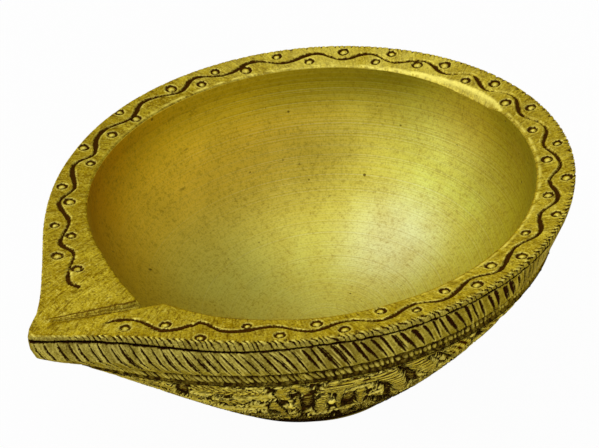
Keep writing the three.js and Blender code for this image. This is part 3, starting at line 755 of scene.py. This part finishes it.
def makeSlantBand():
    foot, top = form["slantFoot"], form["slantTop"]
    rebate = form["collarFoot"] - form["seatGap"]
    collar, collarReach = slant["collar"]
    corners = [corner(bowlRadius(foot, boreGap), foot, 2)]
    corners += [corner(radius, height, 10, reach=reach, spread=spread)
                for radius, height, reach, spread in slant["profile"]]
    corners += [corner(form["edgeRadius"], top, reach=form["spoutReach"]),
                corner(collar, top, reach=collarReach),
                corner(collar, rebate, reach=collarReach),
                corner(bowlRadius(form["collarFoot"], boreGap), rebate)]
    turned = turnForm("slant_band_chased", corners, slant["columns"])
    base, station, degrees = (turned[k] for k in ("base", "station", "degrees"))
    face = (station >= 1) & (station <= 5)
    down = unit((5 - station) / 4)  # 0 at the rim, 1 at the bead band
    fromRim = down * slant["faceLength"]
    base[:, 2] += tabled(rim["seam"], degrees) * unit(1 - down * 2) * (station <= 6)
    bored = unit(np.maximum(1 - station, station - 7))
    movedOut(base, degrees, wallDrawn(degrees, base[:, 2]) * bored)
    filedFlank(base, degrees)

    bow = np.interp(np.abs(degrees - 12), [28, 45], [1.3, 1.15])
    leanHere = tabled(slant["lean"], degrees) * (1 - (1 - down) ** bow)
    shifted = lengthRound(*slant["runLine"])(degrees - leanHere)
    shifted += 0.3 * handWobble(degrees, 12, 8, 40)
    number = np.floor(shifted / slant["pitch"]).astype(int)
    traits = np.random.default_rng(21).uniform(0, 1, (slant["traits"], 6))
    wedge = around(degrees, 75, 24, 32)  # the cuts there are wedges, widest near the rim
    edge = np.full(len(degrees), -1.0)
    hollow = np.zeros(len(degrees))
    for offset in (-1, 0, 1):
        jitter, late, long, wide, double, tilt = traits[(number + offset) % slant["traits"]].T
        place = ((number + offset + 0.5) * slant["pitch"]
                 + (jitter - 0.5) * 2 * slant["jitter"])
        start = 0.1 + 0.7 * late ** 2
        end = 8.1 + 1.0 * long + 0.6 * around(degrees, 8, 0, 20)
        inside = unit((fromRim - start) / (end - start))
        body = (0.23 + 0.14 * wide ** 1.5) * (1 + 0.55 * wedge)
        line = np.sin(math.pi * inside ** (0.75 + 0.5 * double)) ** 0.45
        taper = unit(inside * 14) * (1 - inside) ** 0.7 * 1.25
        width = body * (line + (taper - line) * wedge * 0.5)
        off = shifted - place - (tilt - 0.5) * 0.9 * (inside - 0.5)
        edge = np.maximum(edge, width - np.abs(off))
        hollow = np.maximum(hollow, unit((width - np.abs(off)) / np.maximum(body, 0.1)))
        # some cuts were struck twice
        second = np.where(double > 0.5 + 0.2 * wedge,
                          width * 0.85 - np.abs(off - 0.62) - 0.14, -1)
        edge = np.maximum(edge, second)
        hollow = np.maximum(hollow, 0.5 * unit(second / 0.2))
    footLine = np.interp(np.abs(wrapped(degrees - 70)), [0, 20, 30], [0.42, 0.36, 0.3])
    line = np.maximum(0.36 - fromRim, footLine - np.abs(8.9 - fromRim))
    line += 0.12 * handWobble(degrees, 31, 30, 120)
    raised = np.where(face, -slant["depth"] * hollow ** 0.8 - 0.4 * unit(line / 0.3), 0)
    sootAndShade = np.where(face, np.maximum(edge, line), -0.2)
    # a painted highlight beside each cut
    cutEdgeHighlight = hump(edge + 0.2, 0.13) * face * (fromRim > 0.4)
    stainAndShade = np.clip(0.1 + 0.45 * around(degrees, 52, 0, 14)
                    + 0.2 * handWobble(degrees, 41, 10, 60), 0, 0.6)
    marks = {"sootAndShade": sootAndShade, "rubAndHighlight": 0.95 * cutEdgeHighlight * patches(degrees, 40, 30, 150, 0.45),
             "stainAndShade": stainAndShade, "along": shifted * mm, "across": fromRim * mm}
    finishPiece(turned, raised, marks, slantBrass, "slant_band")


makeSlantBand()

bead = {
    "columns": 1980,
    "foot": (52.05, 65.2, 0.51),
    "top": (52.95, 68.0, 0.41),
    "runLine": (52.5, 66.6, 0.46),
    "faceLength": 3.04,
    "pitch": 1.2,
    "height": 0.45,
    "traits": 400,
}


def makeBeadBand():
    foot, top = form["beadFoot"], form["slantFoot"]
    corners = [corner(bowlRadius(foot, boreGap), foot, 2)]
    corners += [corner(radius, height, rows, reach=reach, spread=spread)
                for height, rows, (radius, reach, spread)
                in ((foot, 16, bead["foot"]), (top, 2, bead["top"]))]
    corners.append(corner(bowlRadius(top, boreGap), top))
    turned = turnForm("bead_band_chased", corners, bead["columns"])
    station, degrees = turned["station"], turned["degrees"]
    face = (station >= 1) & (station <= 2)
    upDown = (unit(station - 1) - 0.5) * bead["faceLength"]
    # round beads on the side, and slanting bars towards the spout and the back
    roundness = np.interp(np.abs(degrees - 90), [0, 22, 40], [1.0, 0.8, 0.15])
    shifted = (lengthRound(*bead["runLine"])(degrees) + (1 - roundness) * 0.75 * upDown
               + 0.25 * handWobble(degrees, 52, 10, 60))
    beat = shifted / bead["pitch"]
    number = np.floor(beat).astype(int)
    jitter, wide, tall = np.random.default_rng(77).uniform(
        0, 1, (bead["traits"], 3))[number % bead["traits"]].T
    dx = ((beat % 1) - 0.5) * bead["pitch"] + (jitter - 0.5) * 0.3
    halfWide = 0.5 + 0.22 * (wide - 0.5)
    halfTall = np.interp(roundness, [0, 1], [1.05, 0.7]) + 0.4 * (tall - 0.5)
    power = np.interp(roundness, [0, 1], [3.2, 2.0])
    size = (np.abs(dx / halfWide) ** power + np.abs(upDown / halfTall) ** power) ** (1 / power)
    dome = np.sqrt(unit(1 - size ** 2))
    border = unit((np.abs(upDown) - 1.2) / 0.2) * np.where(upDown > 0, 0.5, 1.0)
    raised = np.where(face, bead["height"] * (np.maximum(dome, border) - 1), 0.0)
    between = np.minimum((size - 0.93) * 0.8, 0.12) + 0.09 * handWobble(degrees, 57, 60, 200)
    between = np.where(np.abs(upDown) > halfTall, between - 0.1, between)
    lines = 0.2 - np.abs(np.abs(upDown - 0.1) - 1.28)
    lines -= np.where(upDown < 0, 0.2 + 0.2 * handWobble(degrees, 58, 30, 110), 0)
    atSide = unit((np.abs(degrees) - 85) / 15)
    sootAndShade = np.where(face, np.maximum(between - 0.12 * atSide, lines - 0.14 * atSide), -0.2)
    # the tops of the beads are rubbed bright, partly as painted highlights
    rubAndHighlight = np.where(face, unit(dome * 1.5 - 0.85) * (0.1 + 0.6 * jitter), 0)
    stainAndShade = np.clip(0.3 + 0.25 * handWobble(degrees, 56, 10, 90) + 0.4 * (size > 1), 0, 0.8)
    marks = {"sootAndShade": sootAndShade, "rubAndHighlight": rubAndHighlight, "stainAndShade": stainAndShade, "along": shifted * mm,
             "across": upDown * mm}
    finishPiece(turned, raised, marks, carvedBrass, "bead_band")


makeBeadBand()

# Leaves are (three points of the midrib as degrees and mm below the bead band, half width,
# height above the ground, veins): veins run "across" the leaf, "along" it, "level", or not at
# all. Pits are (degrees and mm of both ends, half width), where the cutter went to the ground.
# Pearls are (degrees, mm below the bead band, radius).
shell = {
    "columns": 840,
    "rows": 100,
    "parts": 25,  # corners of the outer curve
    "curveFrom": (21.5, form["footTop"]),
    "curveTo": (52.35, form["beadFoot"]),
    "belly": 3.7,
    "socket": (8.3, 4.1),  # radius and height of the hole for the foot's stub
    "keel": (3.6, 13.15),  # how far the foot and the top are pulled out to the spout
    "carved": (0.9, 43.2),  # mm below the bead band between the two plain mouldings
    "ground": 1.15,
    "foliage": 0.77,  # mean height of the small foliage between the main leaves
    "foliageSwing": 0.38,
    "veinPitch": 1.65,
    "veinCut": 0.2,
    "leaves": [
        ((22.5, 3.8), (29, 3.6), (37, 5.2), 3.3, 1.15, "across"),
        ((21.5, 18), (27, 13), (33, 11.5), 2.2, 1.0, "across"),
        ((37.8, 27), (37.5, 20), (38.5, 12), 1.6, 1.05, "none"),
        ((42, 10), (39.8, 4), (44, 1.2), 1.5, 1.1, "none"),
        ((44, 1.4), (48.6, 4.5), (45.6, 10.4), 1.4, 1.05, "none"),
        ((44.7, 11), (44.3, 15), (44.4, 22), 0.8, 0.9, "none"),
        ((50.8, 25), (50.2, 15), (51.6, 8), 1.6, 1.15, "level"),
        ((50.8, 6.5), (55.5, 3), (62, 4.8), 3.7, 1.15, "level"),
        ((55.2, 9.5), (55.0, 16), (56, 24), 0.9, 0.95, "none"),
        ((60.3, 9.5), (60.8, 15), (62.6, 22), 1.3, 1.05, "none"),
        ((62.8, 3), (70, 6.5), (75.5, 21), 3.6, 1.15, "level"),
        ((66, 17.5), (69, 22), (74, 30), 1.9, 1.0, "along"),
        ((70.5, 0.9), (76, 4), (82.5, 15), 2.7, 1.15, "level"),
        ((81.5, 0.8), (88, 5.5), (93.5, 16), 2.9, 1.15, "along"),
        ((92, 0.8), (99, 4.5), (103, 14), 2.7, 1.15, "along"),
        ((101, 1), (106, 5), (110, 16), 2.5, 1.1, "across"),
        ((27, 33), (31, 27), (38, 24), 2.3, 1.0, "across"),
        ((37, 36), (40, 28), (46, 24), 2.0, 1.0, "across"),
        ((58, 25), (63, 30), (62, 39), 2.5, 1.05, "across"),
        ((48, 30), (52, 35), (50, 41), 2.3, 1.0, "across"),
        ((70, 31), (75, 33), (76, 40), 2.4, 1.05, "across"),
        ((84, 20), (89, 28), (87, 38), 2.7, 1.1, "across"),
        ((97, 18), (102, 27), (100, 38), 2.7, 1.1, "across"),
    ],
    "pearls": [(42.4, 17.4, 1.25), (53.4, 17.8, 1.0), (63.3, 17.2, 0.7), (79, 22, 1.0),
               (95.5, 21, 1.0), (33, 17.5, 0.9), (46, 33, 1.0), (69, 33, 1.0), (90.5, 18.5, 0.9)],
    "pits": [((21.7, 0.3), (18.4, 4.8), 1.25), ((19.4, 4.5), (14.5, 14), 1.25),
             ((32.3, 9.0), (25.5, 8.8), 0.45), ((25.5, 8.8), (19.3, 14.5), 0.55),
             ((33.7, 11), (36.5, 14.2), 0.95), ((36, 20), (36.5, 25), 1.0),
             ((24, 15.5), (22, 22), 0.9), ((38.6, 1.2), (39.4, 4), 0.5),
             ((43.2, 7.4), (45.4, 7.6), 0.75), ((40.2, 11.5), (42.0, 15.2), 1.0),
             ((40.6, 19.5), (43.5, 21.8), 0.85), ((47.2, 7.5), (46.6, 21), 1.4),
             ((51.0, 1.8), (47.8, 7.5), 0.5), ((53.8, 9.8), (53.0, 14), 0.5),
             ((53.0, 13.5), (53.3, 21), 0.95), ((58, 12.6), (58.3, 21.5), 1.4),
             ((62.3, 12), (64.8, 13.8), 0.7), ((63.6, 17.8), (66, 22.4), 0.85),
             ((63.5, 7), (68.3, 13.2), 0.9), ((68.3, 13.2), (73, 26), 0.8),
             ((68.3, 1.2), (72.5, 8.5), 0.75), ((72.5, 8.5), (79.5, 20), 1.15),
             ((76, 2.2), (83, 10), 0.3), ((78, 1.8), (85, 9.6), 0.3),
             ((65.5, 20), (76.5, 30), 1.2), ((89.5, 1), (95, 8), 0.7),
             ((89, 16), (94, 22), 0.9), ((99.5, 1), (103.5, 8), 0.6), ((97, 12), (100, 17), 0.8),
             ((30, 23), (34, 26), 0.9), ((44, 26), (46.5, 31), 0.9), ((55, 27), (56, 34), 1.0),
             ((61, 27), (62, 31), 0.7), ((80, 26), (81.5, 35), 1.0), ((93, 26), (94, 36), 1.0)],
    "repeats": [0, 90, 180, 270],
}


def bentLine(first, middle, last, share):
    return (1 - share) ** 2 * first + 2 * share * (1 - share) * middle + share * share * last


def shellCorners():
    start, end = np.array(shell["curveFrom"]), np.array(shell["curveTo"])
    chord = end - start
    outward = np.array([chord[1], -chord[0]]) / np.hypot(*chord)
    bend = (start + end) / 2 + outward * shell["belly"]
    footTop, beadFoot = form["footTop"], form["beadFoot"]
    hole, floor = shell["socket"]
    corners = [corner(radius, height, middle=0.0)
               for radius, height in ((0, floor), (hole, floor), (hole, footTop))]
    low, high = len(corners), len(corners) + shell["parts"]
    for k in range(shell["parts"] + 1):
        radius, height = bentLine(start, bend, end, k / shell["parts"])
        climb = (height - footTop) / (beadFoot - footTop)
        keel = shell["keel"][0] + (shell["keel"][1] - shell["keel"][0]) * climb ** 1.9
        rows = shell["rows"] // shell["parts"] if k < shell["parts"] else 1
        corners.append(corner(radius, height, rows, reach=radius + keel,
                              spread=0.84 - 0.33 * climb, middle=form["bowlMiddle"] * climb))
    # the top slopes down to the bore, which goes up to the top's height first and then down
    dip, middle, lower = (form["mouthHeight"] - (form["bowlDepth"] + boreGap) * depth
                          for depth in (0.33, 0.6, 0.85))
    corners += [corner(bowlRadius(height, boreGap), height)
                for height in (dip, beadFoot, middle, lower)]
    corners.append(corner(0, form["mouthHeight"] - form["bowlDepth"] - boreGap))
    return corners, low, high


def leafOn(degrees, down, scale, leaf, turnBy):
    # Height over the ground, distance inside the edge and count of veins, for the points near
    # one leaf.
    first, middle, last, halfWidth, height, veins = leaf
    steps = 24
    s = np.linspace(0, 1, steps + 1)[:, None]
    spine = bentLine(np.array(first), np.array(middle), np.array(last), s)
    spine[:, 0] += turnBy
    centre = spine.mean(0)
    near = np.where((np.abs(wrapped(degrees - centre[0])) < 16)
                    & (np.abs(down - centre[1]) < 17))[0]
    dx = wrapped(degrees[near, None] - spine[None, :, 0]) * scale[near, None]
    dy = down[near, None] - spine[None, :, 1]
    closest = (dx ** 2 + dy ** 2).argmin(1)
    rows = np.arange(len(near))
    dx, dy = dx[rows, closest], dy[rows, closest]
    step = np.gradient(spine, axis=0)[closest]
    tangent = np.stack([step[:, 0] * scale[near], step[:, 1]], 1)
    spacing = np.hypot(tangent[:, 0], tangent[:, 1])
    tangent /= spacing[:, None]
    ahead = dx * tangent[:, 0] + dy * tangent[:, 1]
    side = tangent[:, 0] * dy - tangent[:, 1] * dx
    travel = (closest + ahead / spacing) / steps
    length = spacing * steps
    body = unit(travel * 0.86 + 0.1)
    width = halfWidth * np.sin(math.pi * body ** 0.8) ** 0.6
    width = width * (1 + 0.10 * np.sin(travel * length * 2 * math.pi / 2.6))
    beyond = np.maximum(np.maximum(-travel, travel - 1), 0) * length
    edge = width - np.hypot(side, beyond * 2)
    dome = unit(1 - (side / np.maximum(width, 0.05)) ** 2) ** 0.5
    surface = height * (0.7 + 0.3 * dome)
    beat = np.zeros(len(near))
    if veins == "across":
        beat = (travel * length + 0.75 * np.abs(side)) / shell["veinPitch"]
    elif veins == "along":
        beat = side / (shell["veinPitch"] * 0.95) + 0.25
    elif veins == "level":
        beat = (down[near] + 0.25 * dx + 0.25 * np.abs(side)) / shell["veinPitch"]
    if veins != "none":
        surface = surface - shell["veinCut"] * unit(-np.cos(2 * math.pi * beat))
        beat = beat + 40  # a count above nothing, which means no veins
    return near, surface, edge, beat


def pitDepth(degrees, down, scale):
    # How far inside a pit each point lies, in mm.
    inside = np.full(len(degrees), -3.0)
    for turnBy in shell["repeats"]:
        for start, end, half in shell["pits"]:
            px, py = wrapped(degrees - start[0] - turnBy) * scale, down - start[1]
            ax, ay = (end[0] - start[0]) * scale, end[1] - start[1]
            share = unit((px * ax + py * ay) / np.maximum(ax * ax + ay * ay, 0.01))
            waist = 0.55 + 0.45 * np.sin(math.pi * unit(share * 0.8 + 0.1))
            inside = np.maximum(inside, 1.25 * half * waist
                                - np.hypot(px - ax * share, py - ay * share))
    inside += 0.2 * handWobble(degrees * 2.0 + down * 7.0, 64, 30, 90)
    return inside + 0.16 * handWobble(degrees * 3.0 - down * 4.0, 68, 20, 50)


def makeShell():
    corners, low, high = shellCorners()
    turned = turnForm("carved_shell_leaves", corners, shell["columns"], closed=False)
    station, degrees, out = (turned[k] for k in ("station", "degrees", "out"))
    radii, heights = np.array([c[:2] for c in corners], dtype=float).T
    lengths = np.concatenate([[0], np.cumsum(np.hypot(np.diff(radii), np.diff(heights)))])
    down = lengths[high] - np.interp(station, np.arange(len(corners)), lengths)
    face = (station >= low) & (station <= high)
    scale = np.maximum(out, 5) * math.pi / 180  # mm for a degree

    # small foliage fills the ground, in short lobes that turn this way and that
    sway = handWobble(degrees + down * 2.2, 62, 8, 30)
    swirl = handWobble(degrees + down * 5.0, 63, 20, 60)
    run = (degrees * scale * 0.8 + down * (1.5 + 0.7 * sway)) * 1.7 + 2.0 * swirl
    height = shell["foliage"] + shell["foliageSwing"] * np.sin(run)
    vein = run / (2 * math.pi) + 40.75
    lowGround = 0.53 - height
    pit = pitDepth(degrees, down, scale)
    edge = np.full(len(degrees), -3.0)
    for turnBy in shell["repeats"]:
        for leaf in shell["leaves"]:
            near, surface, inside, beat = leafOn(degrees, down, scale, leaf, turnBy)
            over = (inside > 0) & (surface > height[near])
            height[near[over]] = surface[over]
            vein[near[over]] = beat[over]
            lowGround[near[over]] = -1
            edge[near] = np.maximum(edge[near], inside)
    hole = unit(pit / 0.5 + 0.5)
    pearly = np.zeros(len(degrees))
    height = height * (1 - hole) + 0.05 * hole
    for turnBy in shell["repeats"]:
        for spot, below, size in shell["pearls"]:
            dx = wrapped(degrees - spot - turnBy) * scale
            far = np.hypot(dx, (down - below) * 0.62)
            ball = np.sqrt(unit(1 - (far / size) ** 2)) * size
            over = (far < size) & (ball > height)
            height[over] = ball[over]
            vein[over], pit[over], hole[over], pearly[over] = 0, -3, 0, 1
    # a plain moulding at the top and the foot closes the carving
    upper, lower = shell["carved"]
    border = np.maximum(upper - down, down - lower)
    plain = border > 0
    height[plain], vein[plain], pit[plain], hole[plain] = shell["ground"], 0, -3, 0
    edge = np.maximum(edge, border)
    height = np.clip(height, 0, shell["ground"])
    # the top of the moulding is eased in to meet the bead band
    height -= 0.25 * unit(1 - down / upper)
    raised = np.where(face, height - shell["ground"], 0.0)

    # dark are the pits, a thin line round each leaf and the low ground, as tarnish in the hollows,
    # and painted shade at the foot and under the bead band
    pitTone = np.minimum(pit, 0.3) - 0.36 * unit((pit - 0.3) / 0.8)
    leafLine = 0.28 - np.abs(edge + 0.14)
    footShade = (np.interp(down, [25, 31, 36, 41], [-0.25, 0.0, 0.14, 0.3])
                 + 0.12 * handWobble(degrees * 2.0 + down * 5.0, 67, 20, 80))
    topShade = 0.05 + 0.1 * handWobble(degrees, 66, 30, 120) - down
    sootAndShade = np.maximum(leafLine, lowGround) * (hole < 0.5)
    for shade in (pitTone, footShade, topShade):
        sootAndShade = np.maximum(sootAndShade, shade)
    sootAndShade = np.where(face, sootAndShade, np.where(station > high, -0.2, 0.3))
    sootAndShade = np.where(pearly > 0, -0.3, sootAndShade)
    # painted highlights along the leaves' edges and the pits' lips, and over the pearls; high
    # spots are rubbed bright, fading towards the foot as painted shade
    leafEdgeHighlight = hump(edge - 0.45, 0.3) * (hole < 0.1) * face
    pitLipHighlight = hump(pit + 0.55, 0.22) * (height > 0.6) * face
    rubAndHighlight = np.where(face, unit((height - 0.72) * 2.6), 0) * 0.8
    rubAndHighlight = np.maximum(rubAndHighlight, 0.9 * np.maximum(leafEdgeHighlight, pitLipHighlight))
    rubAndHighlight *= np.minimum(patches(degrees + down * 3, 61, 10, 70), 0.9)
    rubAndHighlight = np.maximum(rubAndHighlight * np.interp(down, [0, 18, 32], [1, 0.8, 0.25]), pearly)
    # browner towards the foot: painted shade, while the holes hold brown tarnish
    stainAndShade = np.interp(down, [0, 12, 22, 32, 44], [0.05, 0.12, 0.4, 0.75, 0.85])
    stainAndShade = np.where(face, np.maximum(stainAndShade, 0.9 * hole) * (1 - pearly), 0.7)
    marks = {"sootAndShade": sootAndShade, "rubAndHighlight": rubAndHighlight, "stainAndShade": stainAndShade, "veins": vein,
             "along": np.radians(degrees) * 45 * mm, "across": down * mm}
    finishPiece(turned, raised, marks, carvedBrass, "carved_shell")


makeShell()

cup = {"columns": 420, "rows": 72, "outerRows": 16}


def makeBowl():
    inner, outer = [], []
    for wall, curve, parts in ((0.0, inner, cup["rows"]),
                               (form["cupWall"], outer, cup["outerRows"])):
        depth = form["bowlDepth"] + wall
        start = math.asin((form["mouthHeight"] - form["collarFoot"]) / depth)
        for k in range(parts + 1):
            t = start + (math.pi / 2 - start) * k / parts
            radius = (form["mouthRadius"] + wall) * math.cos(t) if k < parts else 0
            curve.append(corner(radius, form["mouthHeight"] - depth * math.sin(t)))
    turned = turnForm("bowl_liner_turned", outer[::-1] + inner, cup["columns"], crowding=0,
                      closed=False)
    movedOut(turned["base"], turned["degrees"], wallDrawn(turned["degrees"], turned["height"]))
    flat = np.zeros(len(turned["station"]))
    finishPiece(turned, flat, {}, bowlBrass, "bowl_liner")


foot = {
    "columns": 240,
    # radius, height and rows of its corners, from the middle of the underside to the stub's top
    "profile": [(0, 0.25, 8), (16.5, 0.25, 2), (17.0, 0, 3), (20.4, 0, 2), (20.8, 0.15, 2),
                (20.9, 0.45, 4), (20.9, 1.8, 2), (8, 1.8, 1), (8, 3.8, 1), (0, 3.8, 1)],
}


def makeFoot():
    corners = [corner(*place, middle=0.0) for place in foot["profile"]]
    turned = turnForm("foot_disc_turned", corners, foot["columns"], crowding=0, closed=False)
    flat = np.zeros(len(turned["station"]))
    finishPiece(turned, flat, {}, footBrass, "foot_disc")


makeBowl()
makeFoot()

studio = {
    "floorSize": 3.0,
    "paper": "#f4f4f2",  # matt white board, of the floor and the card
    "worldLevel": 0.55,
    "boardGlow": 0.97,  # share of the board that reads as plain white to the camera
    "cardRadius": 1.25,  # a curved card behind the camera, which the metal sees as a dim grey
    "cardRange": (-120, 75),  # degrees round, in the lamps' way
    "cardHeights": (0.45, 2.5),
    "lampColour": (0.93, 0.98, 1.15),
    "aim": (0, 0, 0.03),
    # name, azimuth, elevation, distance, size and power
    "lamps": [("key_soft_box", 168, 54, 1.3, 1.1, 1.6), ("top_soft_box", 150, 82, 1.4, 1.0, 0.8)],
}


def setUp(name, bm, material):
    # Puts a finished bmesh up as part of the studio.
    mesh = bpy.data.meshes.new(name)
    bm.to_mesh(mesh)
    bm.free()
    mesh.materials.append(material)
    prop = bpy.data.objects.new(name, mesh)
    bpy.context.scene.collection.objects.link(prop)


def seesBackground(tree):
    # 1 for the camera's rays and those off metal and through glass.
    rays = addNode(tree, "LightPath", {}, None)
    seen = addNode(tree, "Math", [rays["Is Camera Ray"], rays["Is Glossy Ray"]],
                   operation="MAXIMUM")
    return addNode(tree, "Math", [seen, rays["Is Transmission Ray"]], operation="MAXIMUM")


def makeStudio():
    bm = bmesh.new()
    bmesh.ops.create_grid(bm, x_segments=2, y_segments=2, size=studio["floorSize"] / 2)
    paper, tree = bareMaterial("white_paper_sweep")
    share = addNode(tree, "Math", [seesBackground(tree), studio["boardGlow"]],
                    operation="MULTIPLY")
    board = addNode(tree, "BsdfDiffuse", {"Color": srgb(studio["paper"])})
    glow = addNode(tree, "Emission", {})
    both = addNode(tree, "MixShader", [share, board, glow])
    addNode(tree, "OutputMaterial", {"Surface": both}, None)
    setUp("studio_floor", bm, paper)

    world = bpy.data.worlds.new("white_tent")
    world.use_nodes = True
    bpy.context.scene.world = world
    tree = world.node_tree
    tree.nodes.clear()
    plain, white = (addNode(tree, "Background", {"Color": (1, 1, 1, 1), "Strength": level})
                    for level in (studio["worldLevel"], 1.0))
    both = addNode(tree, "MixShader", [seesBackground(tree), plain, white])
    addNode(tree, "OutputWorld", {"Surface": both}, None)


view = {
    "spoutTurn": 52.75,  # degrees between the view and the spout's axis
    "above": 34.03,
    "roll": -6.03,
    "distance": 588.0,
    "sideways": -2.45,
    "upwards": -8.82,
    "lens": 162.35,
}


def viewAxes():
    turn, above, roll = (math.radians(view[k]) for k in ("spoutTurn", "above", "roll"))
    back = Vector((math.sin(turn) * math.cos(above), -math.cos(turn) * math.cos(above),
                   math.sin(above)))
    level = Vector((math.cos(turn), math.sin(turn), 0))
    upright = back.cross(level)
    right = level * math.cos(roll) + upright * math.sin(roll)
    up = upright * math.cos(roll) - level * math.sin(roll)
    return right, up, back


def levelDirection(degrees):
    # Degrees round from the camera's right, towards what lies behind the lamp.
    right, _, back = viewAxes()
    level, behind = (Vector((v.x, v.y, 0)).normalized() for v in (right, -back))
    return level * math.cos(math.radians(degrees)) + behind * math.sin(math.radians(degrees))


def makeCard():
    first, last = studio["cardRange"]
    start = levelDirection(first) * studio["cardRadius"]
    bm = bmesh.new()
    bm.edges.new([bm.verts.new(start + Vector((0, 0, height)))
                  for height in studio["cardHeights"]])
    bmesh.ops.spin(bm, geom=bm.verts[:] + bm.edges[:], cent=(0, 0, 0), axis=(0, 0, 1),
                   dvec=(0, 0, 0), angle=math.radians(last - first), steps=24, use_merge=False)
    board, tree = bareMaterial("matt_grey_card")
    face = addNode(tree, "BsdfDiffuse", {"Color": srgb(studio["paper"])})
    addNode(tree, "OutputMaterial", {"Surface": face}, None)
    setUp("grey_card", bm, board)


def softLamp(name, azimuth, elevation, distance, size, power):
    # A square soft box.
    lift = math.radians(elevation)
    direction = levelDirection(azimuth) * math.cos(lift) + Vector((0, 0, math.sin(lift)))
    data = bpy.data.lights.new(name, "AREA")
    data.shape = "SQUARE"
    data.size = size
    data.energy = power
    data.color = studio["lampColour"]
    box = bpy.data.objects.new(name, data)
    bpy.context.scene.collection.objects.link(box)
    box.location = Vector(studio["aim"]) + direction * distance
    box.rotation_euler = direction.to_track_quat("Z", "Y").to_euler()


def makeCamera():
    right, up, back = viewAxes()
    middle = Vector((0, form["bowlMiddle"], form["mouthHeight"]))
    spot = middle + back * view["distance"] + right * view["sideways"] + up * view["upwards"]
    data = bpy.data.cameras.new("photo_camera")
    data.lens = view["lens"]
    data.sensor_width = 36
    data.clip_start, data.clip_end = 0.01, 50
    camera = bpy.data.objects.new("photo_camera", data)
    bpy.context.scene.collection.objects.link(camera)
    turn = Matrix((right, up, back)).transposed().to_4x4()
    camera.matrix_world = Matrix.Translation(spot * mm) @ turn
    bpy.context.scene.camera = camera


makeStudio()
makeCard()
for lamp in studio["lamps"]:
    softLamp(*lamp)
makeCamera()
bpy.context.scene.view_settings.view_transform = "Standard"
print("studio and camera ready")
